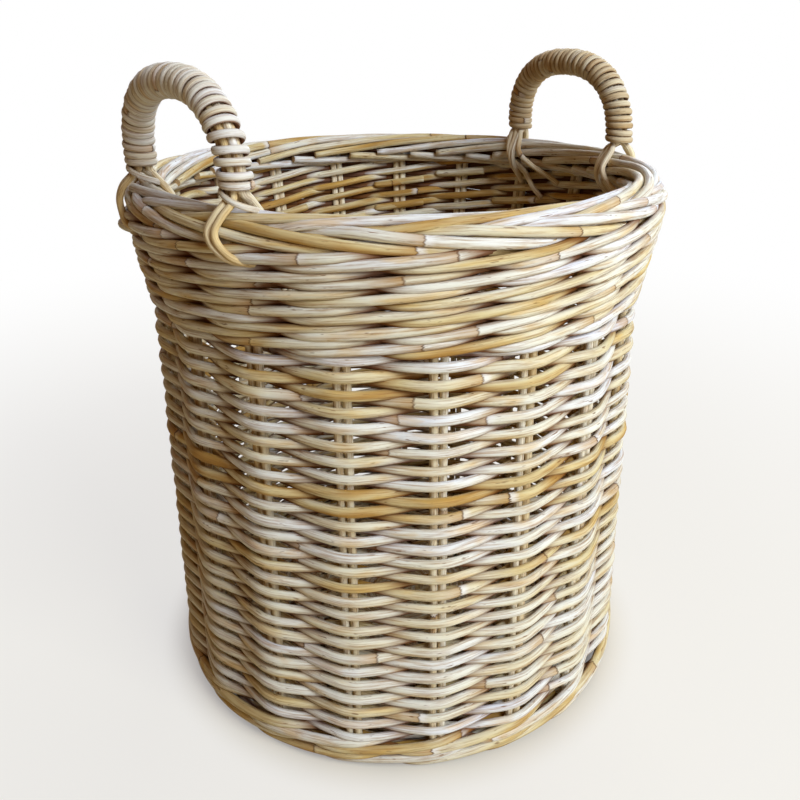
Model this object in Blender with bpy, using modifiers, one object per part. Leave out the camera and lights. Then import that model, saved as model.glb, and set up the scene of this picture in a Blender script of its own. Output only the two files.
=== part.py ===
"""Round wicker log basket with two bound arch handles, in metres, +Z up.

Nineteen pairs of rattan uprights turn under the base and stand up between woven
bands. Each band is a closed ring of the true outer shape, with one slot for each
pair. The origin is under the middle of the base, at floor level.
"""
import math

import bmesh
import bpy
import numpy as np
from mathutils import Matrix, Vector

# Driving dimensions
PAIR_COUNT = 19             # an odd count lets one weaver spiral round
STAKE_CIRCLE_R = 0.2000     # centre line of the uprights in the straight side
STAKE_D = 0.0064            # upright rod
STRAND_D = 0.0062           # weaving rod
RIM_HEIGHT = 0.4500         # floor to the crest of the border
UPSETT_HEIGHT = 0.0100      # first waled rounds above the foot
WALE_HEIGHT = 0.0660        # flared waled band under the border
BORDER_HEIGHT = 0.0300      # plaited border, bottom to crest
BORDER_WIDTH = 0.0310       # plaited border, inside to outside
BORDER_SEAT = 0.85          # share of that width that lies flat on the wale
FLARE = 0.0132              # how far the uprights lean out over the waled band
TAIL_BEND_R = 0.0100        # bend between the tail and the upright
SOCKET_DEPTH = 0.0100       # how far an upright goes into the border
LIP_THICKNESS = 0.0076      # foot under the tails
LIP_WIDTH = 0.0200          # foot, from the uprights inwards
FOOT_ROUND = 0.0065         # rounding of the foot's lower edge
BASE_LIFT = 0.0010          # floor to the underside of the base weave
BASE_TOP_THICKNESS = 0.0065 # base weave above the tails
HANDLE_SPAN = 0.1366        # leg centre to leg centre
HANDLE_RISE = 0.0770        # rim crest to the centre line at the top of the arch
HANDLE_D = 0.0240           # over the binding
HANDLE_TAIL = 0.0720        # leg below the rim crest
ARCH_POWER = 0.8066         # below 1 squares the shoulders of the arch
WRAP_D = 0.0058             # binding cane
WRAP_TURNS = 23             # whole turns of one binding
WRAP_BEND_R = 0.0046        # bend where the binding turns down to the border
LASH_D = 0.0055             # tie beside each foot of a handle
LASH_DROP = 0.0360          # tie below the border, down the outside

# Clearances and mesh counts
GAP = 0.0003                # between pieces that touch
SLOT_GAP = 0.0005           # round a rod in its slot
ROD_SIDES = 6
RING_STEPS = 4 * PAIR_COUNT
WRAP_POINTS = 10            # points on one turn of the binding
ARCH_POINTS = 22
LASH_STEP = math.radians(18)

# Sizes that follow
PAIR_STEP = 2 * math.pi / PAIR_COUNT
PAIR_OFFSET = (STAKE_D + GAP) / 2
STAKE_R = STAKE_D / 2
WALL_HALF = STAKE_R + STRAND_D
TAIL_Z = LIP_THICKNESS + GAP + STAKE_R
TAIL_END_R = 1.1 * PAIR_COUNT * (2 * STAKE_D + 3 * GAP) / (2 * math.pi)
BASE_Z = TAIL_Z + STAKE_R + GAP
FOOT_TOP = BASE_Z + BASE_TOP_THICKNESS + GAP
UPSETT_Z = FOOT_TOP + GAP
WEAVE_Z = UPSETT_Z + UPSETT_HEIGHT + GAP
BORDER_Z = RIM_HEIGHT - BORDER_HEIGHT
WALE_TOP = BORDER_Z - GAP
WALE_Z = WALE_TOP - WALE_HEIGHT
LEAN = math.atan2(FLARE, WALE_HEIGHT)
BORDER_OUT_R = STAKE_CIRCLE_R + FLARE + WALL_HALF
CREST_R = BORDER_OUT_R - BORDER_WIDTH / 2
WRAP_R = (HANDLE_D - WRAP_D) / 2
WRAP_SAG = WRAP_R * (1 - math.cos(math.pi / WRAP_POINTS))
CORE_R = WRAP_R - WRAP_SAG - WRAP_D / 2 - GAP
HANDLE_SEAT = WRAP_D + WRAP_BEND_R + GAP
HANDLE_PAIRS = (PAIR_COUNT - 1) // 2
FACE_SHARE = math.cos(math.pi / RING_STEPS)

BASKET = "wicker_log_basket"


def pair_angle(index):
    """Angle of one pair of uprights; the handles sit over pairs 0 and HANDLE_PAIRS."""
    return -math.pi / 2 + (index - HANDLE_PAIRS / 2) * PAIR_STEP


def at(radius, angle, z, along=0.0):
    """Point at a radius and height, moved sideways along the ring."""
    c, s = math.cos(angle), math.sin(angle)
    return Vector((radius * c - along * s, radius * s + along * c, z))


def flare_at(z):
    """How far the uprights lean out at a height, straight up to the waled band."""
    return max(0.0, z - WALE_Z) * FLARE / WALE_HEIGHT


def make_material(name, colour, roughness):
    """Principled material with the colour of one kind of rod."""
    material = bpy.data.materials.new(name)
    material.use_nodes = True
    shader = material.node_tree.nodes["Principled BSDF"]
    shader.inputs["Base Color"].default_value = (*colour, 1.0)
    shader.inputs["Roughness"].default_value = roughness
    shader.inputs["Metallic"].default_value = 0.0
    return material


def add_object(name, data, collection, material=None):
    """Object in a collection, with its material."""
    obj = bpy.data.objects.new(name, data)
    collection.objects.link(obj)
    if material:
        data.materials.append(material)
    return obj


def rod(name, points, diameter, collection, material):
    """Round rod: a poly curve through the points, with a bevel and filled ends."""
    curve = bpy.data.curves.new(name, "CURVE")
    curve.dimensions = "3D"
    spline = curve.splines.new("POLY")
    spline.points.add(len(points) - 1)
    for spot, point in zip(spline.points, points):
        spot.co = (*point, 1.0)
    curve.bevel_depth = diameter / 2
    curve.bevel_resolution = ROD_SIDES // 2 - 2
    curve.use_fill_caps = True
    return add_object(name, curve, collection, material)


def curve_to_mesh(obj, collection):
    """The curve's surface as a mesh object with its ends welded on."""
    depsgraph = bpy.context.evaluated_depsgraph_get()
    mesh = bpy.data.meshes.new_from_object(obj.evaluated_get(depsgraph))
    bm = bmesh.new()
    bm.from_mesh(mesh)
    bmesh.ops.remove_doubles(bm, verts=bm.verts, dist=0.00001)
    bmesh.ops.recalc_face_normals(bm, faces=bm.faces)
    bm.to_mesh(mesh)
    bm.free()
    name = obj.name
    bpy.data.objects.remove(obj)
    return add_object(name, mesh, collection)


def turned(name, profile, closed, collection, material):
    """Profile of radius and height points, swept once round by a Screw modifier."""
    mesh = bpy.data.meshes.new(name)
    count = len(profile)
    edges = [(i, i + 1) for i in range(count - 1)]
    if closed:
        edges.append((count - 1, 0))
    mesh.from_pydata([(r, 0.0, z) for r, z in profile], edges, [])
    obj = add_object(name, mesh, collection, material)
    screw = obj.modifiers.new("Turn", "SCREW")
    screw.axis = "Z"
    screw.steps = RING_STEPS
    screw.render_steps = RING_STEPS
    screw.use_merge_vertices = True
    screw.merge_threshold = 0.00001
    return obj


def cut(obj, cutter):
    """Boolean difference that leaves the cutter out of the model."""
    cutter.hide_render = True
    cutter.display_type = "WIRE"
    boolean = obj.modifiers.new("Cut " + cutter.name, "BOOLEAN")
    boolean.operation = "DIFFERENCE"
    boolean.solver = "EXACT"
    boolean.object = cutter


def slot_outline(angle):
    """Eight-sided slot round one pair of uprights, clear of both rods at any lean."""
    clear = STAKE_R + SLOT_GAP
    half = clear / math.cos(LEAN)
    corner = math.tan(math.pi / 8)
    reach = PAIR_OFFSET + clear
    waist = PAIR_OFFSET + clear * corner
    points = []
    for end, way in ((1, 1), (-1, -1)):
        points.append((end * waist, -way * half))
        points.append((end * reach, -way * half * corner))
        points.append((end * reach, way * half * corner))
        points.append((end * waist, way * half))
    return [at(STAKE_CIRCLE_R + out, angle, 0.0, along) for along, out in points]


def wall_outline(side, dip):
    """One face of a woven wall: proud over each pair, drawn in by dip between pairs."""
    points = []
    flat = PAIR_OFFSET + STAKE_R
    for index in range(PAIR_COUNT):
        angle = pair_angle(index)
        proud = STAKE_CIRCLE_R + side * WALL_HALF
        points.append(at(proud, angle, 0.0, -flat))
        points.append(at(proud, angle, 0.0, flat))
        points.append(at(proud - side * dip, angle + PAIR_STEP / 2, 0.0))
    return points


def woven_band(name, low, high, dip, collection, material):
    """Woven ring with a slot for each pair: a filled outline, raised and then leant out."""
    curve = bpy.data.curves.new(name, "CURVE")
    curve.dimensions = "2D"
    curve.fill_mode = "BOTH"
    curve.extrude = (high - low) / 2
    outlines = [wall_outline(1, dip), wall_outline(-1, dip)]
    outlines += [slot_outline(pair_angle(index)) for index in range(PAIR_COUNT)]
    for outline in outlines:
        spline = curve.splines.new("POLY")
        spline.use_cyclic_u = True
        spline.points.add(len(outline) - 1)
        for spot, point in zip(spline.points, outline):
            spot.co = (point.x, point.y, 0.0, 1.0)
    flat = add_object(name, curve, collection)
    obj = curve_to_mesh(flat, collection)
    for vertex in obj.data.vertices:
        z = low if vertex.co.z < 0 else high
        radius = math.hypot(vertex.co.x, vertex.co.y)
        grow = 1 + flare_at(z) / radius
        vertex.co = (vertex.co.x * grow, vertex.co.y * grow, z)
    obj.data.materials.append(material)
    return obj


def make_stakes(collection, material):
    """Uprights: tail under the base, bend, straight side, then the lean into the border."""
    bend_r = STAKE_CIRCLE_R - TAIL_BEND_R
    bend_z = TAIL_Z + TAIL_BEND_R
    end_z = BORDER_Z + SOCKET_DEPTH
    path = [(TAIL_END_R, TAIL_Z)]
    for turn in (-90, -45, 0):
        a = math.radians(turn)
        path.append((bend_r + TAIL_BEND_R * math.cos(a), bend_z + TAIL_BEND_R * math.sin(a)))
    path.append((STAKE_CIRCLE_R, WALE_Z))
    path.append((STAKE_CIRCLE_R + flare_at(end_z), end_z))
    for index in range(PAIR_COUNT):
        for letter, side in (("a", -1), ("b", 1)):
            angle = pair_angle(index)
            points = [at(r, angle, z, side * PAIR_OFFSET) for r, z in path]
            rod(f"stake_{index + 1:02d}{letter}", points, STAKE_D, collection, material)


def make_base(collection, weave):
    """Base weave: one disc on the tails of the uprights and one under them, inside the foot."""
    edge_r = STAKE_CIRCLE_R - STAKE_R - GAP
    chamfer = TAIL_BEND_R - STAKE_R - GAP
    top = BASE_Z + BASE_TOP_THICKNESS
    upper = [(0.0, top), (edge_r - chamfer / 2, top), (edge_r - chamfer * 0.1, top - chamfer * 0.1),
             (edge_r - chamfer, BASE_Z), (0.0, BASE_Z)]
    turned("base_weave_upper", upper, False, collection, weave)
    lip_r = STAKE_CIRCLE_R - LIP_WIDTH - GAP
    under_top = LIP_THICKNESS
    lower = [(0.0, under_top), (lip_r, under_top), (lip_r, BASE_LIFT), (0.0, BASE_LIFT)]
    turned("base_weave_lower", lower, False, collection, weave)


def make_foot(collection, material):
    """Foot wale: a turned ring outside the uprights, with a lip under their tails."""
    out = STAKE_CIRCLE_R + WALL_HALF
    inner = (STAKE_CIRCLE_R + STAKE_R + GAP) / FACE_SHARE
    lip = STAKE_CIRCLE_R - LIP_WIDTH
    profile = [(out, FOOT_TOP), (out, FOOT_ROUND * 2), (out - FOOT_ROUND * 0.3, FOOT_ROUND * 0.7),
               (out - FOOT_ROUND, 0.0), (lip, 0.0), (lip, LIP_THICKNESS),
               (inner, LIP_THICKNESS), (inner, FOOT_TOP)]
    turned("foot_wale", profile, True, collection, material)


def make_border(collection, cutters, material, leg_paths):
    """Plaited border: a turned oval, with a socket for each pair and a hole for each leg."""
    half_w, half_h = BORDER_WIDTH / 2, BORDER_HEIGHT / 2
    middle = RIM_HEIGHT - half_h
    seat = BORDER_SEAT * half_w
    profile = []
    for turn in (90, 50, 15, -20):
        a = math.radians(turn)
        profile.append((CREST_R + half_w * math.cos(a), middle + half_h * math.sin(a)))
    profile += [(CREST_R + seat, BORDER_Z), (CREST_R - seat, BORDER_Z)]
    for turn in (200, 165, 130):
        a = math.radians(turn)
        profile.append((CREST_R + half_w * math.cos(a), middle + half_h * math.sin(a)))
    border = turned("rim_border", profile, True, collection, material)
    mesh = bpy.data.meshes.new("stake_sockets")
    bm = bmesh.new()
    size = (2 * (STAKE_R + SLOT_GAP), 2 * (PAIR_OFFSET + STAKE_R + SLOT_GAP), 2 * SOCKET_DEPTH)
    for index in range(PAIR_COUNT):
        place = Matrix.Translation(at(STAKE_CIRCLE_R + flare_at(BORDER_Z), pair_angle(index), BORDER_Z))
        place = place @ Matrix.Rotation(pair_angle(index), 4, "Z") @ Matrix.Rotation(LEAN, 4, "Y")
        place = place @ Matrix.Translation((0.0, 0.0, 2 * SLOT_GAP))
        bmesh.ops.create_cube(bm, size=1.0, matrix=place @ Matrix.Diagonal((*size, 1.0)))
    bm.to_mesh(mesh)
    bm.free()
    cut(border, add_object("stake_sockets", mesh, cutters))
    for name, path in leg_paths:
        width = 2 * (CORE_R + SLOT_GAP) / math.cos(math.pi / ROD_SIDES)
        tunnel = rod(name + "_tunnel", path, width, cutters, None)
        cut(border, curve_to_mesh(tunnel, cutters))


def arch_point(turn, angle):
    """Centre line of a handle: a square-shouldered arch standing on the border's crest."""
    c, s = math.cos(turn), math.sin(turn)
    aside = HANDLE_SPAN / 2 * math.copysign(abs(c) ** ARCH_POWER, c)
    up = (HANDLE_RISE - HANDLE_SEAT) * abs(s) ** ARCH_POWER
    plane = math.sqrt(CREST_R ** 2 - (HANDLE_SPAN / 2) ** 2)
    return at(plane, angle, RIM_HEIGHT + HANDLE_SEAT + up, aside)


def even_points(points, count):
    """The same path with count points at equal distances along it."""
    path = np.array([tuple(p) for p in points])
    steps = np.linalg.norm(np.diff(path, axis=0), axis=1)
    along = np.concatenate(([0.0], np.cumsum(steps)))
    spots = np.linspace(0.0, along[-1], count)
    return np.stack([np.interp(spots, along, path[:, k]) for k in range(3)], axis=1)


def leg_points(foot):
    """Leg from a foot of the arch down through the border and along the inside of the wale."""
    angle = math.atan2(foot.y, foot.x)
    inside = STAKE_CIRCLE_R - WALL_HALF - CORE_R / math.cos(LEAN) - GAP
    points = []
    for z in (WALE_TOP, RIM_HEIGHT - HANDLE_TAIL):
        points.append(at(inside + flare_at(z), angle, z))
    return points


def dense_arch(angle):
    """Close points along the centre line of one arch, from foot to foot."""
    return [arch_point(turn, angle) for turn in np.linspace(0.0, math.pi, 721)]


def wrap_path(angle):
    """Binding: a helix round the arch whose ends bend down square to the border's crest."""
    phase = math.atan2(WRAP_R, WRAP_BEND_R)
    total = 2 * math.pi * WRAP_TURNS + 2 * phase
    count = int(round(total / (2 * math.pi) * WRAP_POINTS)) + 1
    centre = even_points(dense_arch(angle), count)
    along = np.gradient(centre, axis=0)
    along /= np.linalg.norm(along, axis=1)[:, None]
    out = np.array((math.cos(angle), math.sin(angle), 0.0))
    across = np.cross(out, along)
    turn = np.linspace(-phase, total - phase, count)[:, None]
    helix = centre + WRAP_R * (np.cos(turn) * out + np.sin(turn) * across)
    return np.vstack((wrap_end(helix, 0, out, across, turn, -1),
                      helix, wrap_end(helix, -1, out, across, turn, 1)))


def wrap_end(helix, index, out, across, turn, way):
    """Quarter bend and one straight diameter at one end of the helix, in path order."""
    heading = way * (np.cos(turn[index]) * across[index] - np.sin(turn[index]) * out)
    heading[2] = 0.0
    heading /= np.linalg.norm(heading)
    down = np.array((0.0, 0.0, -1.0))
    start = helix[index]
    points = []
    for a in np.radians((30, 60, 90)):
        points.append(start + WRAP_BEND_R * (math.sin(a) * heading + (1 - math.cos(a)) * down))
    tip = points[-1].copy()
    tip[2] = RIM_HEIGHT + GAP
    points.append(tip)
    return np.array(points if way > 0 else points[::-1])


def least_gap(path):
    """Smallest distance between turns of a winding, surface to surface."""
    spacing = np.linalg.norm(path[:, None] - path[None], axis=2)
    order = np.abs(np.arange(len(path))[:, None] - np.arange(len(path))[None])
    return spacing[order > WRAP_POINTS // 2].min() - WRAP_D


def lash_points(angle):
    """Tie: round the border from its inside over the crest, then down the outside."""
    lift = LASH_D / 2 + 2 * GAP
    middle = RIM_HEIGHT - BORDER_HEIGHT / 2
    half_w, half_h = BORDER_WIDTH / 2 + lift, BORDER_HEIGHT / 2 + lift
    count = int(math.radians(180) / LASH_STEP) + 1
    points = []
    for turn in np.linspace(math.radians(180), 0.0, count):
        points.append(at(CREST_R + half_w * math.cos(turn), angle, middle + half_h * math.sin(turn)))
    for z in (BORDER_Z, BORDER_Z - LASH_DROP):
        out = STAKE_CIRCLE_R + flare_at(z) + WALL_HALF + lift / math.cos(LEAN) + GAP
        points.append(at(out, angle, z))
    return points


def mirrored(points):
    """The same points on the other side of the plane between the handles."""
    return [Vector((-p[0], p[1], p[2])) for p in points]


def make_handles(collection, cane, core):
    """Both handles: core, binding and the two ties; returns the legs' paths."""
    angle = pair_angle(0)
    arch = [Vector(p) for p in even_points(dense_arch(angle), ARCH_POINTS)]
    legs = [[arch[0]] + leg_points(arch[0]), [arch[-1]] + leg_points(arch[-1])]
    bar = legs[0][:0:-1] + arch + legs[1][1:]
    wrap = wrap_path(angle)
    print(f"least gap between turns of a binding: {least_gap(wrap) * 1000:.2f} mm")
    beside = (HANDLE_D / 2 + LASH_D / 2 + 2 * GAP) / CREST_R
    feet = [math.atan2(leg[0].y, leg[0].x) for leg in legs]
    ties = [lash_points(foot - beside) for foot in feet]
    leg_paths = []
    for side, place in (("left", list), ("right", mirrored)):
        rod(f"handle_core_{side}", place(bar), 2 * CORE_R, collection, core)
        rod(f"handle_wrap_{side}", place(wrap), WRAP_D, collection, cane)
        for foot, tie, leg in zip(("front", "back"), ties, legs):
            rod(f"handle_tie_{side}_{foot}", place(tie), LASH_D, collection, cane)
            leg_paths.append((f"leg_{side}_{foot}", place(leg)))
    return leg_paths


def main():
    """Clear the scene and build every piece of the basket."""
    for obj in list(bpy.data.objects):
        bpy.data.objects.remove(obj)
    basket = bpy.data.collections.new(BASKET)
    cutters = bpy.data.collections.new(BASKET + "_cutters")
    for collection in (basket, cutters):
        bpy.context.scene.collection.children.link(collection)
    weaver = make_material("rattan_weaver", (0.72, 0.58, 0.36), 0.55)
    upright = make_material("rattan_upright", (0.70, 0.54, 0.31), 0.55)
    border = make_material("rattan_border", (0.74, 0.62, 0.40), 0.50)
    cane = make_material("rattan_cane", (0.75, 0.66, 0.50), 0.45)
    inner = make_material("rattan_core", (0.60, 0.43, 0.24), 0.60)
    make_base(basket, weaver)
    make_foot(basket, border)
    woven_band("upsett_wale", UPSETT_Z, UPSETT_Z + UPSETT_HEIGHT, STAKE_R, basket, border)
    woven_band("side_weave", WEAVE_Z, WALE_Z - GAP, STAKE_R + STRAND_D / 2, basket, weaver)
    woven_band("top_wale", WALE_Z, WALE_TOP, STAKE_R, basket, border)
    make_stakes(basket, upright)
    leg_paths = make_handles(basket, cane, inner)
    make_border(basket, cutters, border, leg_paths)


main()
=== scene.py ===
"""Wicker log basket: every rod of its weave, border, handles and base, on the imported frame.

Lengths are in metres. A place on the wall is given by u, the count of bays from the pair of
uprights under the left handle, so that whole numbers of u are pairs of uprights.
"""
import math

import bpy
import numpy as np
from mathutils import Matrix, Vector


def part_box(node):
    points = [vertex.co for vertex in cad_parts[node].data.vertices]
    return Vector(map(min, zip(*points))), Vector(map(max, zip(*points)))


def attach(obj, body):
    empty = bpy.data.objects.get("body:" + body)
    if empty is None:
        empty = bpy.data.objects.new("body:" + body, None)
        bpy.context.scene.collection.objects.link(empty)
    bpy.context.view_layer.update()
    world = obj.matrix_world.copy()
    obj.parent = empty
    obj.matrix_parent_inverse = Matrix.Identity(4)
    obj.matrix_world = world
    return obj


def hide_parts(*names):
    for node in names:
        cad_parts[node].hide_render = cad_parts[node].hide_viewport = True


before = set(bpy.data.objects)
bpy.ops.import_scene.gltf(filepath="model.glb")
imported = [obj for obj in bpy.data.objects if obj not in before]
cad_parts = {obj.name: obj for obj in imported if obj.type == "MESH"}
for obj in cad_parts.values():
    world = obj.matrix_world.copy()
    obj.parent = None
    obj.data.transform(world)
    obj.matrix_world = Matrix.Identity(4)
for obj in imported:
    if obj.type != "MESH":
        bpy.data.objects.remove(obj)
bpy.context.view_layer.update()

# Sizes of the part, the same as in its source
PAIRS = 19
STEP = 2 * math.pi / PAIRS
FIRST = -math.pi / 2 - 4.5 * STEP
STAKE_R = 0.0032
RING_R = 0.2000
FLARE = 0.0132
FOOT_DRAW = 0.0065
FOOT_HEIGHT = 0.022
SPAN = 0.1366
ARCH_POWER = 0.8066
CORE_R = 0.0055
BORDER_HALF_WIDTH = 0.0155
BORDER_HALF_HEIGHT = 0.0150
RIM_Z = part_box("rim_border")[1].z
BORDER_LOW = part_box("rim_border")[0].z
BORDER_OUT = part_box("rim_border")[1].x
WALE_LOW, WALE_HIGH = (corner.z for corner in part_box("top_wale"))
WEAVE_LOW, WEAVE_HIGH = (corner.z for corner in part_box("side_weave"))
TAIL_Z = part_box("stake_01a")[0].z + STAKE_R
ARCH_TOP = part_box("handle_core_left")[1].z - CORE_R
CREST_R = BORDER_OUT - BORDER_HALF_WIDTH

# Rods as they look
WEAVER_D = 0.0076
WEAVER_FLAT = 0.83          # depth of a side weaver against its width
WALE_D = 0.0073
BORDER_D = 0.0072
CORE_ROD_R = 0.0027
CANE_R = 0.00285            # half the width of the binding cane
CANE_END_R = 0.0022
CANE_FLAT = 0.66
ROUNDS = 50
START_U = 16                # bay at the side, where rounds start and step up
OVERRUN = 0.4               # bays that a rod runs on past its last pair
END_TUCK = 0.003            # how far in its ends are pushed
SIDES = 12
THIN_SIDES = 10
BAY_POINTS = 20

# Winding of the handles: step of a close and of an open turn, radius, and points
CLOSE_STEP = 0.0057
OPEN_STEP = 0.0079
WOUND_R = 0.0102
TURN_POINTS = 24
END_POINTS = 25

# How far out the brown of the grooves reaches, partly rubbing and partly painted shade, how
# much the undersides brown, as painted shade, and how much tone is lost inside the basket,
# also as painted shade
BROWN_WALE = 0.0048
BROWN_FOOT = 0.0020
BROWN_BORDER = 0.0050
UNDERSIDE_SHADE = 0.003
CLEAR_DEPTH = 0.0085
INSIDE_SHADE_GOLD = 0.30

VIEW_TURN = math.radians(-36.79)
LAMP_AIM = (0, 0, 0.25)
RNG = np.random.default_rng(1907)


def smooth(x):
    """Smooth step: 0 below 0, 1 above 1, and 3 x squared minus 2 x cubed between."""
    x = np.clip(x, 0.0, 1.0)
    return x * x * (3 - 2 * x)


def drift(x, reach, wave):
    """Slow wander along x: three sines of wave, 0.57 wave and 0.31 wave with chance phases."""
    phases = RNG.uniform(0, 2 * math.pi, 3)
    total = sum(np.sin(2 * math.pi * x / (wave * share) + phase) * share
                for share, phase in zip((1.0, 0.57, 0.31), phases))
    return reach * total / 1.2


def ring_r(z):
    """Radius of the uprights at a height: straight, then leaning out through the waled band."""
    lean = FLARE / (WALE_HIGH - WALE_LOW)
    bend = 0.012
    over = z - WALE_LOW
    eased = np.where(over < bend, np.clip(over + bend, 0, None) ** 2 / (4 * bend), over)
    return RING_R + lean * eased


def foot_r(z):
    """Radius of the uprights near the foot, drawn in towards the floor."""
    return RING_R - FOOT_DRAW * np.clip(1 - z / FOOT_HEIGHT, 0, 1) ** 2


def on_wall(u, radius, z):
    """Points at bay u, radius and height."""
    angle = FIRST + u * STEP
    return np.stack((radius * np.cos(angle), radius * np.sin(angle), z + 0 * u), axis=1)


def unit(rows):
    """Rows scaled to length one."""
    return rows / np.linalg.norm(rows, axis=1)[:, None]


def distance(path):
    """Length of a path from its start to each of its points."""
    return np.concatenate(([0.0], np.cumsum(np.linalg.norm(np.diff(path, axis=0), axis=1))))


def beside(path, out):
    """Directions across a path, square to out, and its face, square to the path and to across."""
    heading = unit(np.gradient(path, axis=0))
    across = np.cross(heading, out)
    return across, np.cross(across, heading)


def through(points, count):
    """Smooth path through points: a Catmull-Rom spline, sampled count times evenly by index."""
    points = np.asarray(points, float)
    padded = np.vstack((2 * points[0] - points[1], points, 2 * points[-1] - points[-2]))
    t = np.linspace(0, len(points) - 1 - 1e-9, count)
    k = t.astype(int)
    f = (t - k)[:, None]
    a, b, c, d = (padded[k + n] for n in range(4))
    return 0.5 * (2 * b + (c - a) * f + (2 * a - 5 * b + 4 * c - d) * f ** 2
                  + (3 * b - a - 3 * c + d) * f ** 3)


def even(path, count):
    """The same path with count points at equal distances along it."""
    along = distance(path)
    spots = np.linspace(0, along[-1], count)
    return np.stack([np.interp(spots, along, path[:, k]) for k in range(3)], axis=1)


def wall_depth(spots):
    """Distance of points from the middle of the wall, and 1 mm more as the weave is open."""
    return np.abs(np.hypot(spots[:, 0], spots[:, 1]) - ring_r(spots[:, 2])) + 0.0010


def wale_depth(spots):
    """Distance from the middle of the wall, less outside, to brown the grooves between rods,
    more in the top wale than at the foot; the brown is partly rubbing, partly painted shade."""
    outside = np.hypot(spots[:, 0], spots[:, 1]) > ring_r(spots[:, 2])
    brown = np.where(spots[:, 2] > WALE_LOW - WALE_D, BROWN_WALE, BROWN_FOOT)
    return wall_depth(spots) - brown * outside


def border_depth(spots):
    """Distance of points from the middle of the border's section, less to brown its grooves,
    partly as rubbing and partly as painted shade.
    """
    across = np.hypot(spots[:, 0], spots[:, 1]) - CREST_R
    return np.hypot(across, spots[:, 2] - RIM_Z + BORDER_HALF_HEIGHT) - BROWN_BORDER


def base_depth(spots):
    """Distance of points from the middle of the base."""
    return np.abs(spots[:, 2] - TAIL_Z)


def exposed(spots):
    """Points well clear of the weave."""
    return np.full(len(spots), CLEAR_DEPTH)


def rod(path, radius, tone, hint=None, flat=1.0, sides=SIDES, depth=wall_depth):
    """One rod: an oval carried along a path, closed with a flat cut at each end.

    Each ring is the path point plus radius times (sin a across - flat cos a out), where out is
    the hint squared to the path and across is square to both. Without a hint, it points level
    away from the basket's axis. The ring starts on the side away from the hint. The rod keeps
    metres along, turns around, its tone, a chance number, and how deep in the weave each point
    lies, counted deeper on its underside so that the underside browns, as painted shade. Inside
    the basket the wall's rods get a lower tone, a darker and deeper gold, also as painted shade.
    """
    hint = unit(path * (1.0, 1.0, 0.0)) if hint is None else np.broadcast_to(hint, path.shape)
    heading = unit(np.gradient(path, axis=0))
    out = unit(hint - (hint * heading).sum(1)[:, None] * heading)
    across = np.cross(heading, out)
    radius = np.broadcast_to(radius, len(path))
    turn = np.linspace(0, 2 * math.pi, sides, endpoint=False)
    ring = across[:, None] * np.sin(turn)[:, None] - out[:, None] * flat * np.cos(turn)[:, None]
    spots = (path[:, None] + radius[:, None, None] * ring).reshape(-1, 3)
    # Painted shade: the underside counts deeper, so it browns, and the wall's rods inside the
    # basket lose tone to a darker gold
    under = np.clip(-ring[:, :, 2], 0.0, 1.0).ravel()
    inward = ring_r(spots[:, 2]) - np.hypot(spots[:, 0], spots[:, 1])
    inside_shade = smooth((inward - 0.001) / 0.005) * (depth in (wall_depth, wale_depth))

    count = len(path)
    i = np.arange(count - 1)[:, None]
    j = np.arange(sides)[None]
    k = (j + 1) % sides
    quads = np.stack((i * sides + j, (i + 1) * sides + j,
                      (i + 1) * sides + k, i * sides + k), axis=2)
    along = distance(path)
    low, high = along[:-1, None] + 0 * j, along[1:, None] + 0 * j
    left, right = j / sides + 0 * i, (j + 1) / sides + 0 * i
    maps = np.stack((np.stack((low, left), 2), np.stack((high, left), 2),
                     np.stack((high, right), 2), np.stack((low, right), 2)), axis=2)
    disc = np.stack((0.5 + 0.5 * np.cos(turn), 0.5 + 0.5 * np.sin(turn)), axis=1)
    caps = np.stack((np.arange(sides), (count - 1) * sides + np.arange(sides)[::-1]))
    return {"spots": spots, "quads": quads.reshape(-1, 4), "caps": caps,
            "maps": maps.reshape(-1, 2), "disc": np.concatenate((disc, disc)),
            "tone": tone - INSIDE_SHADE_GOLD * inside_shade, "deep": depth(spots) - UNDERSIDE_SHADE * under,
            "chance": np.full(len(spots), RNG.random())}


def piece(name, rods, finish, slot, *nodes):
    """One mesh object from several rods, with its finish and the CAD nodes it stands for; its slot
    is not used.
    """
    starts = np.concatenate(([0], np.cumsum([len(r["spots"]) for r in rods])))[:-1]
    spots = np.concatenate([r["spots"] for r in rods])
    quads = np.concatenate([r["quads"] + s for r, s in zip(rods, starts)])
    caps = [cap + s for r, s in zip(rods, starts) for cap in r["caps"]]
    corners = np.concatenate([quads.ravel()] + caps)
    sizes = np.concatenate((np.full(len(quads), 4), [len(cap) for cap in caps]))
    firsts = np.concatenate(([0], np.cumsum(sizes)))[:-1]
    is_cap = np.arange(len(sizes)) >= len(quads)
    mesh = bpy.data.meshes.new(name)
    mesh.vertices.add(len(spots))
    mesh.vertices.foreach_set("co", spots.ravel())
    mesh.loops.add(len(corners))
    mesh.loops.foreach_set("vertex_index", corners.astype(np.int32))
    mesh.polygons.add(len(sizes))
    mesh.polygons.foreach_set("loop_start", firsts.astype(np.int32))
    mesh.update(calc_edges=True)
    mesh.polygons.foreach_set("use_smooth", ~is_cap)
    mesh.polygons.foreach_set("material_index", is_cap.astype(np.int32))
    rod_map = mesh.uv_layers.new(name="rod_map")
    places = np.concatenate([r["maps"] for r in rods] + [r["disc"] for r in rods])
    rod_map.data.foreach_set("uv", places.ravel())
    for key in ("tone", "chance", "deep"):
        values = np.concatenate([r[key] for r in rods])
        mesh.attributes.new(key, "FLOAT", "POINT").data.foreach_set("value", values)
    mesh.materials.append(finish)
    mesh.materials.append(CUT_END)
    obj = bpy.data.objects.new(name, mesh)
    bpy.context.scene.collection.objects.link(obj)
    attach(obj, "root")
    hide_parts(*nodes)


def linear(code):
    """Linear colour of an sRGB hex code."""
    parts = np.array([int(code[k:k + 2], 16) for k in (1, 3, 5)]) / 255
    return (*np.where(parts <= 0.04045, parts / 12.92, ((parts + 0.055) / 1.055) ** 2.4), 1.0)


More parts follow.
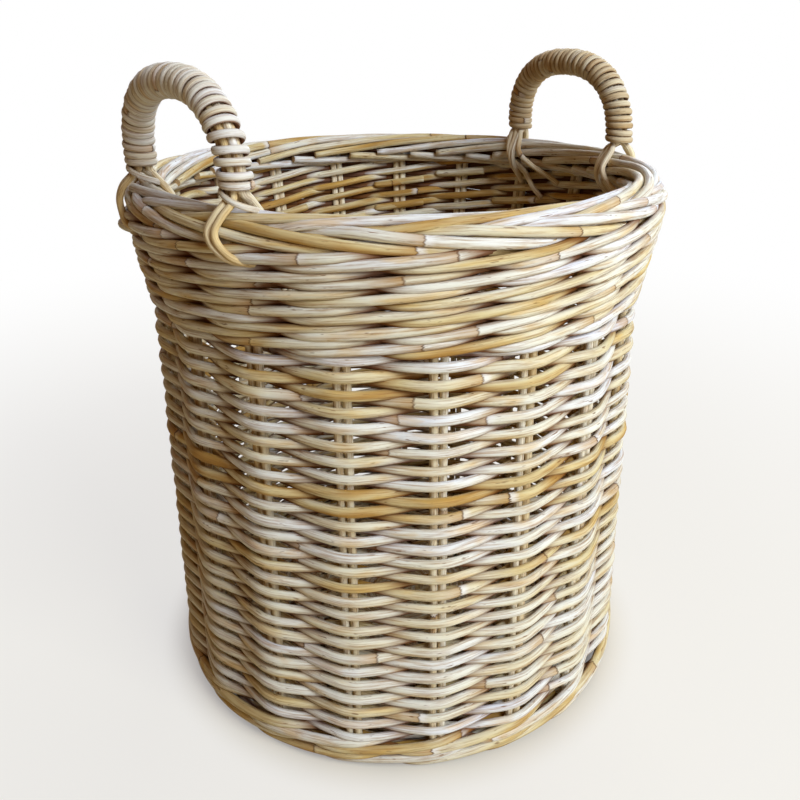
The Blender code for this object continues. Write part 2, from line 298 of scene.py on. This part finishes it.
def node(tree, kind, values=(), links=(), **settings):
    """Add one shader node, set its properties and sockets, and join its inputs."""
    made = tree.nodes.new(kind)
    for key, value in settings.items():
        setattr(made, key, value)
    for key, value in dict(values).items():
        made.inputs[key].default_value = value
    for key, source in dict(links).items():
        tree.links.new(source, made.inputs[key])
    return made


def rattan(name, ramp, stain, stain_share, roughness):
    """Peeled rattan core: a straw-pale rod with fine lengthwise fibres, yellow stains where the
    skin was left, brown rings at its nodes, scattered brown flecks, and brown in the grooves
    between rods and on their undersides, partly from rubbing and partly painted shade."""
    material = bpy.data.materials.new(name)
    material.use_nodes = True
    tree = material.node_tree
    shader = tree.nodes["Principled BSDF"]
    place = node(tree, "ShaderNodeUVMap", uv_map="rod_map")
    parts = node(tree, "ShaderNodeSeparateXYZ", links={0: place.outputs[0]})
    tone, chance, deep = (node(tree, "ShaderNodeAttribute", attribute_name=key).outputs["Fac"]
                          for key in ("tone", "chance", "deep"))
    # The chance number moves each rod to its own part of the patterns
    far = node(tree, "ShaderNodeMath", {1: 91.0}, {0: chance}, operation="MULTIPLY").outputs[0]
    on_rod = node(tree, "ShaderNodeCombineXYZ",
                  links={0: parts.outputs[0], 1: parts.outputs[1], 2: far}).outputs[0]

    # Patterns by their cells to a metre along the rod and to a turn around it: fibres about 30 mm
    # long, a tone that wanders over about 90 mm, stains 30 to 80 mm long and short flecks
    noise = {}
    for key, along, around, values in (
            ("fibre", 34.0, 17.0, {"Detail": 4.0, "Roughness": 0.6}),
            ("slow", 11.0, 1.6, {"Detail": 2.0}),
            ("blot", 26.0, 2.4, {"Detail": 3.0, "Distortion": 0.4}),
            ("fleck", 70.0, 9.0, {"Detail": 2.0, "Roughness": 0.7})):
        cells = node(tree, "ShaderNodeVectorMath", {1: (along, around, 1.0)}, {0: on_rod},
                     operation="MULTIPLY")
        noise[key] = node(tree, "ShaderNodeTexNoise", {"Scale": 1.0, **values},
                          {"Vector": cells.outputs[0]}).outputs["Fac"]

    # Tone of the rod
    wander = node(tree, "ShaderNodeMath", {1: 1.3, 2: -0.65}, {0: noise["slow"]},
                  operation="MULTIPLY_ADD")
    shade = node(tree, "ShaderNodeMath", links={0: tone, 1: wander.outputs[0]}, use_clamp=True)
    colour = node(tree, "ShaderNodeValToRGB", links={0: shade.outputs[0]})
    stops = colour.color_ramp.elements
    for spot, _ in ramp[1:-1]:
        stops.new(spot)
    for stop, (spot, code) in zip(stops, ramp):
        stop.position = spot
        stop.color = linear(code)

    # Node rings: cells about 345 mm long, each with a jagged brown line 1 mm wide, stronger or
    # weaker by chance, browned skin before it and, on about half of them, a pale peeled patch
    cell = node(tree, "ShaderNodeMath", {1: 2.9}, {0: parts.outputs[0], 2: far},
                operation="MULTIPLY_ADD")
    jagged = node(tree, "ShaderNodeMath", {1: 0.020}, {0: noise["fibre"], 2: cell.outputs[0]},
                  operation="MULTIPLY_ADD").outputs[0]
    joints = node(tree, "ShaderNodeTexVoronoi", {"Scale": 1.0}, {"W": jagged},
                  voronoi_dimensions="1D")
    spacing = joints.outputs["Distance"]
    luck = node(tree, "ShaderNodeSeparateColor", links={0: joints.outputs["Color"]})
    after = node(tree, "ShaderNodeMath", links={0: jagged, 1: joints.outputs["W"]},
                 operation="GREATER_THAN")
    before = node(tree, "ShaderNodeMath", {0: 1.0}, {1: after.outputs[0]}, operation="SUBTRACT")
    lucky = node(tree, "ShaderNodeMapRange", {1: 0.45, 2: 0.75}, {0: luck.outputs[0]})
    peeled = node(tree, "ShaderNodeMath", links={0: lucky.outputs[0], 1: after.outputs[0]},
                  operation="MULTIPLY")
    strong = node(tree, "ShaderNodeMapRange", {3: 0.40, 4: 1.0}, {0: luck.outputs[1]})
    skin = node(tree, "ShaderNodeMapRange", {1: 0.003, 2: 0.070, 3: 0.60, 4: 0.0}, {0: spacing})
    peel = node(tree, "ShaderNodeMapRange", {1: 0.010, 2: 0.022, 3: 0.65, 4: 0.0}, {0: spacing})
    line = node(tree, "ShaderNodeMapRange", {1: 0.0013, 2: 0.0030, 3: 1.0, 4: 0.0}, {0: spacing})
    skin, peel, ring = (
        node(tree, "ShaderNodeMath", links={0: amount.outputs[0], 1: share.outputs[0]},
             operation="MULTIPLY")
        for amount, share in ((skin, before), (peel, peeled), (line, strong)))

    # Brown in the grooves where rods lie against each other, within 5 mm of the middle of the
    # weave, and on their undersides: partly rubbing, partly painted shade
    rub_and_shade_depth = node(tree, "ShaderNodeMath", {1: 0.004}, {0: noise["slow"], 2: deep},
               operation="MULTIPLY_ADD")
    brown = node(tree, "ShaderNodeMapRange", {1: 0.0015, 2: 0.0075, 3: 0.92, 4: 0.0},
                 {0: rub_and_shade_depth.outputs[0]}, interpolation_type="SMOOTHSTEP")

    # Colours laid over the tone, in order
    blot = node(tree, "ShaderNodeMapRange", {1: 0.52, 2: 0.72, 4: stain_share},
                {0: noise["blot"]})
    streak = node(tree, "ShaderNodeMapRange", {1: 0.46, 2: 0.70, 4: 0.75}, {0: noise["fibre"]})
    fleck = node(tree, "ShaderNodeMapRange", {1: 0.65, 2: 0.73, 4: 0.8}, {0: noise["fleck"]})
    now = colour.outputs[0]
    for amount, code in ((blot, stain), (streak, "#9E6F38"), (skin, "#B98A4C"), (peel, "#F0EADF"),
                         (ring, "#5A371C"), (fleck, "#7A5029"), (brown, "#6E3A0E")):
        now = node(tree, "ShaderNodeMix", {7: linear(code)}, {0: amount.outputs[0], 6: now},
                   data_type="RGBA").outputs[2]
    tree.links.new(now, shader.inputs["Base Color"])

    # Satin sheen, a little rougher on the fibres, which stand up with the node rings
    rough = node(tree, "ShaderNodeMapRange", {3: roughness - 0.08, 4: roughness + 0.12},
                 {0: noise["fibre"]})
    tree.links.new(rough.outputs[0], shader.inputs["Roughness"])
    shader.inputs["Specular IOR Level"].default_value = 0.03
    height = node(tree, "ShaderNodeMath", {1: 1.5}, {0: line.outputs[0], 2: noise["fibre"]},
                  operation="MULTIPLY_ADD")
    bump = node(tree, "ShaderNodeBump", {"Strength": 0.35, "Distance": 0.0006},
                {"Height": height.outputs[0]})
    tree.links.new(bump.outputs[0], shader.inputs["Normal"])
    return material


def cut_end():
    """Cut rattan end: open pores as fine brown dots in a straw-coloured face."""
    material = bpy.data.materials.new("rattan_cut_end")
    material.use_nodes = True
    tree = material.node_tree
    shader = tree.nodes["Principled BSDF"]
    place = node(tree, "ShaderNodeTexCoord").outputs["Object"]
    pores = node(tree, "ShaderNodeTexVoronoi", {"Scale": 1900.0}, {"Vector": place})
    amount = node(tree, "ShaderNodeMapRange", {1: 0.2, 2: 0.6, 3: 0.8, 4: 0.0},
                  {0: pores.outputs["Distance"]})
    mix = node(tree, "ShaderNodeMix", {6: linear("#CDA873"), 7: linear("#6E4827")},
               {0: amount.outputs[0]}, data_type="RGBA")
    tree.links.new(mix.outputs[2], shader.inputs["Base Color"])
    shader.inputs["Roughness"].default_value = 0.8
    return material


WEAVER_RAMP = ((0.0, "#B98F4C"), (0.2, "#DAC690"), (0.5, "#E7E0C6"), (0.8, "#E9E6DA"),
               (1.0, "#E5E4E2"))
UPRIGHT_RAMP = ((0.0, "#DCC088"), (0.5, "#F3E4BE"), (1.0, "#F5ECD2"))
CANE_RAMP = ((0.0, "#BFA070"), (0.4, "#DACBA8"), (0.7, "#E2DBC8"), (1.0, "#E2DED8"))
CUT_END = cut_end()
WEAVER = rattan("peeled_rattan_weaver", WEAVER_RAMP, "#D6A646", 0.55, 0.42)
UPRIGHT = rattan("peeled_rattan_upright", UPRIGHT_RAMP, "#CFA050", 0.45, 0.46)
BORDER = rattan("peeled_rattan_border", WEAVER_RAMP, "#D6A646", 0.55, 0.40)
CANE = rattan("rattan_binding_cane", CANE_RAMP, "#D9AE66", 0.35, 0.40)


def chance_tone(low=0.42, high=0.85):
    """Tone of one rod, with now and then a brown one."""
    return RNG.uniform(0.15, 0.35) if RNG.random() < 0.06 else RNG.uniform(low, high)


def lengths(start, end, stride, short, long):
    """Cut a run of bays into weaver lengths of short to long strides, so that they end inside."""
    cuts = [start]
    while end - cuts[-1] > long * stride:
        cuts.append(cuts[-1] + stride * int(RNG.integers(short, long)))
    return list(zip(cuts, cuts[1:] + [end]))


def run_of(start, end):
    """Bays along one rod, run on a little at each end, and how far in its ends are pushed."""
    u = np.linspace(start - OVERRUN, end + OVERRUN,
                    int((end - start + 2 * OVERRUN) * BAY_POINTS))
    tuck = smooth((start + 0.2 - u) / 0.6) + smooth((u - end + 0.2) / 0.6)
    return u, END_TUCK * tuck


def swing_of(u):
    """Plain-weave swing: 1 in front of even bays, -1 behind odd ones. A triangle wave stretched
    by 1.2 and softly clipped, so that it lies flat on a pair and runs straight across a bay."""
    wave = 1.2 * (2 * np.abs(u % 2 - 1) - 1)
    return wave / (1 + np.abs(wave) ** 24) ** (1 / 24)


def side_weave():
    """Plain weave: one spiral of rods, in front of a pair and behind the next, climbing evenly."""
    pitch = (WEAVE_HIGH - WEAVE_LOW) / ROUNDS
    low = WEAVE_LOW + pitch / 2 - pitch * START_U / PAIRS
    reach = STAKE_R + WEAVER_D / 2 * 0.86
    spans = lengths(START_U - PAIRS, START_U + ROUNDS * PAIRS, 2, 19, 29)
    for number, (start, end) in enumerate(spans, 1):
        u, tuck = run_of(start, end)
        thick = WEAVER_D / 2 * RNG.uniform(0.90, 1.06) * (1 + drift(u, 0.05, 11.0))
        z = low + pitch * (u / PAIRS) + drift(u, 0.0006, 7.3) + drift(u, 0.0004, 2.1)
        radius = ring_r(z) + reach * swing_of(u) + drift(u, 0.0005, 5.0) - tuck
        weaver = rod(on_wall(u, radius, z), thick, chance_tone(), flat=WEAVER_FLAT)
        piece(f"side_weaver_{number:02d}", [weaver], WEAVER, "weaver", "side_weave")


def level_rounds(u):
    """Count of rounds since the start, level but for a step up over the last bay of each."""
    whole = np.floor((u - START_U) / PAIRS)
    share = (u - START_U) / PAIRS - whole
    return np.maximum(whole + smooth((share - 1) * PAIRS + 1), 0)


def wale_rods(low, rounds, count, shape):
    """Waled band of count rods, one bay apart: each goes in front of all pairs but every count-th.
    In front it climbs by most of a rod's width for each pair, and it drops back behind that pair.
    Its distance is 1 in front, dipping to -1 as a raised cosine within a bay of the pair behind."""
    rods = []
    reach = STAKE_R + WALE_D / 2 * 0.95
    lift = 0.838 * WALE_D
    edge = count / 2 - 0.7
    knots = (0.0, 0.5, 0.7, count - 0.7, count - 0.5, count)
    rises = (0.0, -edge, -edge, edge, edge, 0.0)
    early = 0.12            # bays by which the dip comes before the pair
    for strand in range(count):
        first = START_U + strand - count
        for start, end in lengths(first, START_U + rounds * PAIRS - strand, count, 5, 9):
            u, tuck = run_of(start, end)
            phase = (u - first) % count
            gap = np.abs((phase + early + count / 2) % count - count / 2)
            swing = 1 - 2 * np.cos(np.clip(gap, 0, 1) * math.pi / 2) ** 2
            climb = np.interp(phase, knots, rises)
            climb = np.convolve(np.pad(climb, 3, "edge"), np.ones(7) / 7, "valid")
            z = low + lift * ((count - 1) * level_rounds(u) + climb) + drift(u, 0.0006, 6.1)
            radius = shape(z) + swing * reach + drift(u, 0.0006, 4.3) - tuck
            thick = WALE_D / 2 * RNG.uniform(0.92, 1.06) * (1 + drift(u, 0.04, 9.0))
            path = on_wall(u, radius, z)
            rods.append(rod(path, thick, chance_tone(0.20, 0.84), depth=wale_depth))
    return rods


def uprights():
    """Pairs of uprights: tail under the base, quarter bend, straight side, lean into the border."""
    bend = 0.010
    tail_end = 0.047
    tail_points, bend_points, side_points = 14, 10, 60
    angle = np.linspace(-math.pi / 2, 0, bend_points)
    z = np.concatenate((np.full(tail_points, TAIL_Z), TAIL_Z + bend + bend * np.sin(angle),
                        np.linspace(TAIL_Z + bend + 0.006, BORDER_LOW + 0.010, side_points)))
    radius = np.concatenate((np.linspace(tail_end, RING_R - bend - 0.002, tail_points),
                             RING_R - bend + bend * np.cos(angle), ring_r(z[-side_points:])))
    for k in range(PAIRS):
        c, s = math.cos(FIRST + k * STEP), math.sin(FIRST + k * STEP)
        for letter, side in (("a", -1), ("b", 1)):
            aside = side * (STAKE_R + 0.0003 + drift(z, 0.00025, 0.13))
            path = np.stack((radius * c - aside * s, radius * s + aside * c, z), axis=1)
            thick = STAKE_R * RNG.uniform(0.97, 1.04)
            away = np.array((-s, c, 0.0)) * side
            stake = rod(path, thick, chance_tone(0.4, 0.9), away, sides=THIN_SIDES, depth=exposed)
            piece(f"upright_{k + 1:02d}{letter}", [stake], UPRIGHT, "upright",
                  f"stake_{k + 1:02d}{letter}")


def round_border(u, beta, depth):
    """Points round the border's section: beta 0 is outside, 90 degrees the crest, 180 inside."""
    half = BORDER_HALF_HEIGHT - BORDER_D / 2
    radius = CREST_R + half * 1.04 * depth * np.cos(beta)
    return on_wall(u, radius, RIM_Z - BORDER_HALF_HEIGHT + half * depth * np.sin(beta))


def border_rods():
    """Plaited border of two sets of rods. Set one climbs from the outside over the crest and ends
    cut off inside; set two comes from under the crest down the outside and in under the rim. Each
    goes round the section evenly, and the sets change places, inner and outer, at 40 degrees.
    Two rods more stand out in a short loop, by a bell curve of the bay."""
    rods = []
    v = np.linspace(0, 1, 72)
    # Each set: its start and its run in bays, its first and last angle, and which way it changes
    sets = ((0.0, 6.4, -60, 200, 1), (0.42, 7.4, 140, -150, -1))
    for k in range(PAIRS):
        for start, bays, first, last, way in sets:
            u = k + start + bays * v + drift(v, 0.04, 0.8)
            beta = first + (last - first) * v + drift(v, 4.0, 0.6)
            depth = 0.52 + 0.48 * smooth(0.5 + way * (beta - 40) / 26)
            path = round_border(u, np.radians(beta), depth)
            thick = BORDER_D / 2 * RNG.uniform(0.9, 1.06)
            rods.append(rod(path, thick, chance_tone(0.18, 0.95), depth=border_depth))
    # Each loop: its bay, how far below the rim it lies and how far it stands out
    for middle, drop, bulge in ((-1.35, 0.036, 0.011), (6.35, 0.017, 0.006)):
        u = middle + np.linspace(-1.3, 1.3, 60)
        stand = np.exp(-((u - middle) / 0.32) ** 2) * bulge
        tuck = 0.008 * smooth(np.abs(u - middle) - 0.4)
        path = on_wall(u, BORDER_OUT - 0.0075 + stand - tuck, RIM_Z - drop)
        rods.append(rod(path, BORDER_D / 2, 0.6, depth=exposed))
    return rods


def arch(side, lean):
    """Centre line of a handle from foot to foot, and the level direction out of its plane: a
    square-shouldered arch whose run and rise are cosine and sine to a power below one."""
    turn = np.linspace(0, math.pi, 721)
    c, s = np.cos(turn), np.sin(turn)
    aside = SPAN / 2 * np.sign(c) * np.abs(c) ** ARCH_POWER
    seat = RIM_Z + 0.0107
    up = (ARCH_TOP - seat) * np.abs(s) ** ARCH_POWER
    plane = math.sqrt(CREST_R ** 2 - (SPAN / 2) ** 2) + up * math.tan(lean)
    out = np.array((math.cos(FIRST), math.sin(FIRST), 0.0))
    path = np.stack((plane * out[0] - aside * out[1], plane * out[1] + aside * out[0],
                     seat + up), axis=1)
    flip = np.array((-1.0, 1.0, 1.0)) if side == "right" else np.ones(3)
    return path * flip, out * flip


def leg_outside(u, slide):
    """End of a core rod that goes over the border, down its outside and in under a border rod."""
    z = RIM_Z - np.array((-0.0045, 0.0030, 0.0130, 0.0220, 0.0300, 0.0345))
    radius = np.array((CREST_R + 0.0085, BORDER_OUT - 0.0005, BORDER_OUT + 0.0030,
                       BORDER_OUT + 0.0028, BORDER_OUT + 0.0008, BORDER_OUT - 0.0070))
    return on_wall(u + slide * np.array((0.0, -0.05, -0.11, -0.07, 0.06, 0.22)), radius, z)


def leg_inside(u, slide, drop):
    """End of a core rod that goes down the inside of the border and in behind the wale."""
    z = RIM_Z - np.array((-0.0030, 0.28 * drop, 0.56 * drop, 0.83 * drop, drop))
    wall = ring_r(z) - STAKE_R - WALE_D
    clear = wall[2] - 0.0050
    if z[2] > BORDER_LOW:
        clear = min(clear, CREST_R - 0.0175)
    radius = np.array((CREST_R - 0.0090, CREST_R - 0.0195, clear, wall[3] - 0.0020,
                       wall[4] + 0.0045))
    return on_wall(u + slide * np.array((0.02, 0.16, 0.48, 0.80, 1.0)), radius, z)


def core_rods(side, path, out):
    """Bundle of core rods of one handle, round its centre line, whose ends straddle the border."""
    way = 1 if side == "left" else -1
    feet_u = [(math.atan2(spot[1], spot[0]) - FIRST) / STEP for spot in (path[0], path[-1])]
    bar = even(path, 26)
    across, face = beside(bar, out)
    rods = []
    # Each rod: its turn round the bar, if it ends outside, and its shift and slide in bays
    plans = ((0.5, True, 0.03, 0.0), (-0.5, True, -0.045, 0.0), (2.4, False, 0.07, 0.70),
             (3.9, False, -0.09, 0.58), (3.1, False, 0.0, 0.08), (1.6, False, 0.06, 0.02))
    for index, (spin, outer, shift, slide) in enumerate(plans):
        middle = bar + 0.0050 * (math.cos(spin) * face + math.sin(spin) * across)
        drop = 0.016 * index + 0.010 if slide > 0.1 else 0.045
        slip = -slide if side == "right" else 0.4 * slide
        ends = [leg_outside(u + way * shift, way) if outer
                else leg_inside(u + way * shift, slip, drop) for u in feet_u]
        whole = even(through(np.vstack((ends[0][::-1], middle, ends[1])), 700), 150)
        thick = CORE_ROD_R * RNG.uniform(0.92, 1.06)
        rods.append(rod(whole, thick, chance_tone(0.3, 0.8), out, sides=THIN_SIDES,
                        depth=exposed))
    return rods


def binding(path, out, tone, open_turns):
    """One cane wound round a handle's centre line: a helix with its own step for each turn. It
    lies close but for open_turns near its first foot, and each of its ends slips down across the
    foot to the inside of the border."""
    run = distance(path)[-1]
    steps = np.full(60, CLOSE_STEP)
    steps[2:2 + open_turns] = OPEN_STEP
    turns = int(np.searchsorted(np.cumsum(steps), run))
    count = turns * TURN_POINTS
    centre = even(path, count)
    across, face = beside(centre, out)
    v = np.linspace(0, run, count)
    marks = np.concatenate(([0.0], np.cumsum(steps[:turns]))) * run / steps[:turns].sum()
    wound = np.interp(v, marks, np.arange(turns + 1.0))
    spin = -2 * math.pi * (wound + drift(v, 0.06, 0.021))[:, None]
    away = np.cos(spin) * face + np.sin(spin) * across
    winding = centre + (WOUND_R + drift(v, 0.0003, 0.011))[:, None] * away
    ends, hints = [], []
    s = np.linspace(0, 1, END_POINTS + 1)[:, None]
    for index, way in ((0, 1), (-1, -1)):
        swept = spin[index] + way * s * 3.7
        bend = np.cos(swept) * face[index] + np.sin(swept) * across[index]
        ends.append(centre[index] + (0.0108 + 0.005 * s ** 2) * bend
                    - np.array((0, 0, 0.020)) * s)
        hints.append(bend)
    winding = np.vstack((ends[0][:0:-1], winding, ends[1][1:]))
    away = np.vstack((hints[0][:0:-1], away, hints[1][1:]))
    centre = np.vstack((np.repeat(centre[:1], END_POINTS, 0), centre,
                        np.repeat(centre[-1:], END_POINTS, 0)))

    def binding_depth(spots):
        """Height over the edges of the winding, times 3 to brown only the grooves of the turns,
        partly as rubbing and partly as painted shade.
        """
        middles = np.repeat(centre, THIN_SIDES, axis=0)
        return 3 * (np.linalg.norm(spots - middles, axis=1) - 0.0096)

    width = np.full(len(winding), CANE_R)
    width[:END_POINTS + 1] = width[-END_POINTS - 1:] = CANE_END_R
    return rod(winding, width, tone, away, CANE_FLAT, sides=THIN_SIDES, depth=binding_depth)


def handle(side, lean, tone, open_turns):
    """One handle: its bundle of core rods, and the cane wound round it."""
    path, out = arch(side, lean)
    piece(f"handle_core_rods_{side}", core_rods(side, path, out), UPRIGHT, "core",
          f"handle_core_{side}", f"handle_tie_{side}_front", f"handle_tie_{side}_back")
    piece(f"handle_binding_{side}", [binding(path, out, tone, open_turns)], CANE, "cane",
          f"handle_wrap_{side}")


def base_weave():
    """Round base: the same plain weave laid flat, a spiral that closes in on the middle with its
    height swinging over and under the tails, and a flat coil of rod above and below the centre."""
    rounds = 23
    outer, inner = 0.1895, 0.0660
    u = np.linspace(0, rounds * PAIRS, rounds * PAIRS * 8)
    radius = outer - (outer - inner) * u / (rounds * PAIRS)
    thick = 0.0031 - 0.0008 * (u / u[-1])
    z = TAIL_Z + (STAKE_R + thick * 0.95) * swing_of(u)
    up = np.array((0.0, 0.0, 1.0))
    rods = [rod(on_wall(u, radius, z), thick, 0.5, up, sides=THIN_SIDES, depth=base_depth)]
    coil_turns = 12
    turn = np.linspace(0, 2 * math.pi * coil_turns, coil_turns * 40)
    radius = 0.004 + 0.0050 * turn / (2 * math.pi)
    for level in (TAIL_Z + 0.0050, TAIL_Z - 0.0050):
        coil = np.stack((radius * np.cos(turn), radius * np.sin(turn), 0 * turn + level), axis=1)
        rods.append(rod(coil, 0.0026, 0.5, up, sides=THIN_SIDES, depth=base_depth))
    piece("base_weaver", rods, WEAVER, "weaver", "base_weave_upper", "base_weave_lower")


def floor():
    """Pale floor, which keeps the basket's shadow and runs into the white surroundings."""
    size = 40.0
    corners = [(-size, -size, 0), (size, -size, 0), (size, size, 0), (-size, size, 0)]
    mesh = bpy.data.meshes.new("floor")
    mesh.from_pydata(corners, [], [(0, 1, 2, 3)])
    obj = bpy.data.objects.new("floor", mesh)
    bpy.context.scene.collection.objects.link(obj)
    material = bpy.data.materials.new("white_paper_floor")
    material.use_nodes = True
    tree = material.node_tree
    shader = tree.nodes["Principled BSDF"]
    shader.inputs["Base Color"].default_value = linear("#D2C4A2")
    shader.inputs["Roughness"].default_value = 0.9
    glow = node(tree, "ShaderNodeEmission", {0: (1, 1, 1, 1), 1: 1.0})
    seen = node(tree, "ShaderNodeLightPath").outputs["Is Camera Ray"]
    # To the camera it is mixed with white by its distance from the basket, and not under it
    spot = node(tree, "ShaderNodeTexCoord").outputs["Object"]
    apart = node(tree, "ShaderNodeVectorMath", links={0: spot}, operation="LENGTH")
    far, outside = (node(tree, "ShaderNodeMapRange", values, {0: apart.outputs["Value"]},
                         interpolation_type="SMOOTHSTEP")
                    for values in ({1: 0.20, 2: 1.5, 3: 0.70, 4: 1.0}, {1: 0.17, 2: 0.24}))
    white = node(tree, "ShaderNodeMath", links={0: far.outputs[0], 1: outside.outputs[0]},
                 operation="MULTIPLY")
    share = node(tree, "ShaderNodeMath", links={0: seen, 1: white.outputs[0]},
                 operation="MULTIPLY")
    blend = node(tree, "ShaderNodeMixShader",
                 links={0: share.outputs[0], 1: shader.outputs[0], 2: glow.outputs[0]})
    tree.links.new(blend.outputs[0], tree.nodes["Material Output"].inputs[0])
    mesh.materials.append(material)


def surroundings():
    """White surroundings to the camera and in reflections, and a weak warm light on the object."""
    world = bpy.data.worlds.new("white_room")
    bpy.context.scene.world = world
    world.use_nodes = True
    tree = world.node_tree
    back = tree.nodes["Background"]
    light = node(tree, "ShaderNodeLightPath")
    seen = node(tree, "ShaderNodeMath", operation="MAXIMUM",
                links={0: light.outputs["Is Camera Ray"], 1: light.outputs["Is Glossy Ray"]})
    level = node(tree, "ShaderNodeMapRange", {3: 0.118, 4: 1.0}, {0: seen.outputs[0]})
    tint = node(tree, "ShaderNodeMix", {6: linear("#FFB048"), 7: (1, 1, 1, 1)},
                {0: seen.outputs[0]}, data_type="RGBA")
    tree.links.new(level.outputs[0], back.inputs["Strength"])
    tree.links.new(tint.outputs[2], back.inputs["Color"])


def seen_from(x, y, z):
    """Point given in the view's own axes: x to the right, y away from the eye, z up."""
    c, s = math.cos(VIEW_TURN), math.sin(VIEW_TURN)
    return (x * c - y * s, x * s + y * c, z)


def lamp(name, spot, size, power):
    """Square area lamp at a spot, slightly cool, turned to face the middle of the basket."""
    data = bpy.data.lights.new(name, "AREA")
    data.size = size
    data.energy = power
    data.color = linear("#DEECFF")[:3]
    obj = bpy.data.objects.new(name, data)
    heading = Vector(spot) - Vector(LAMP_AIM)
    turn = heading.to_track_quat("Z", "Y").to_matrix().to_4x4()
    obj.matrix_world = Matrix.Translation(spot) @ turn
    bpy.context.scene.collection.objects.link(obj)


def camera():
    """Camera fitted to the outline, the rim and the pairs of uprights in the photograph."""
    picture, focal, middle_row = 800, 834.04, 319.55     # in pixels
    tilt, roll = 0.3393, -0.0101
    data = bpy.data.cameras.new("camera")
    data.sensor_width = 36.0
    data.lens = 36.0 * focal / picture
    data.shift_y = (middle_row - picture / 2) / picture
    obj = bpy.data.objects.new("camera", data)
    turn = Matrix.Rotation(VIEW_TURN, 4, "Z") @ Matrix.Rotation(math.pi / 2 - tilt, 4, "X")
    turn = turn @ Matrix.Rotation(roll, 4, "Z")
    obj.matrix_world = Matrix.Translation(seen_from(0.0032, -0.71426, 0.56044)) @ turn
    bpy.context.scene.collection.objects.link(obj)
    bpy.context.scene.camera = obj


camera()
floor()
surroundings()
lamp("key", seen_from(1.50, -1.60, 1.95), 1.2, 82.0)
lamp("low_key", seen_from(2.0, -1.75, 0.6), 1.2, 20.0)
lamp("fill", seen_from(0.9, 2.3, 1.5), 2.0, 50.0)
bpy.context.scene.view_settings.view_transform = "Standard"

uprights()
side_weave()
piece("top_wale_rods", wale_rods(WALE_LOW + WALE_D, 6, 3, ring_r), BORDER, "border", "top_wale")
piece("foot_wale_rods", wale_rods(0.0097, 2, 3, foot_r), BORDER, "border",
      "foot_wale", "upsett_wale")
piece("border_rods", border_rods(), BORDER, "border", "rim_border")
handle("left", math.radians(3), 0.75, 4)
# The right handle's cane has a lower, more golden tone than the left's: partly its own colour,
# partly painted shade
handle("right", math.radians(-3), 0.32, 0)
base_weave()
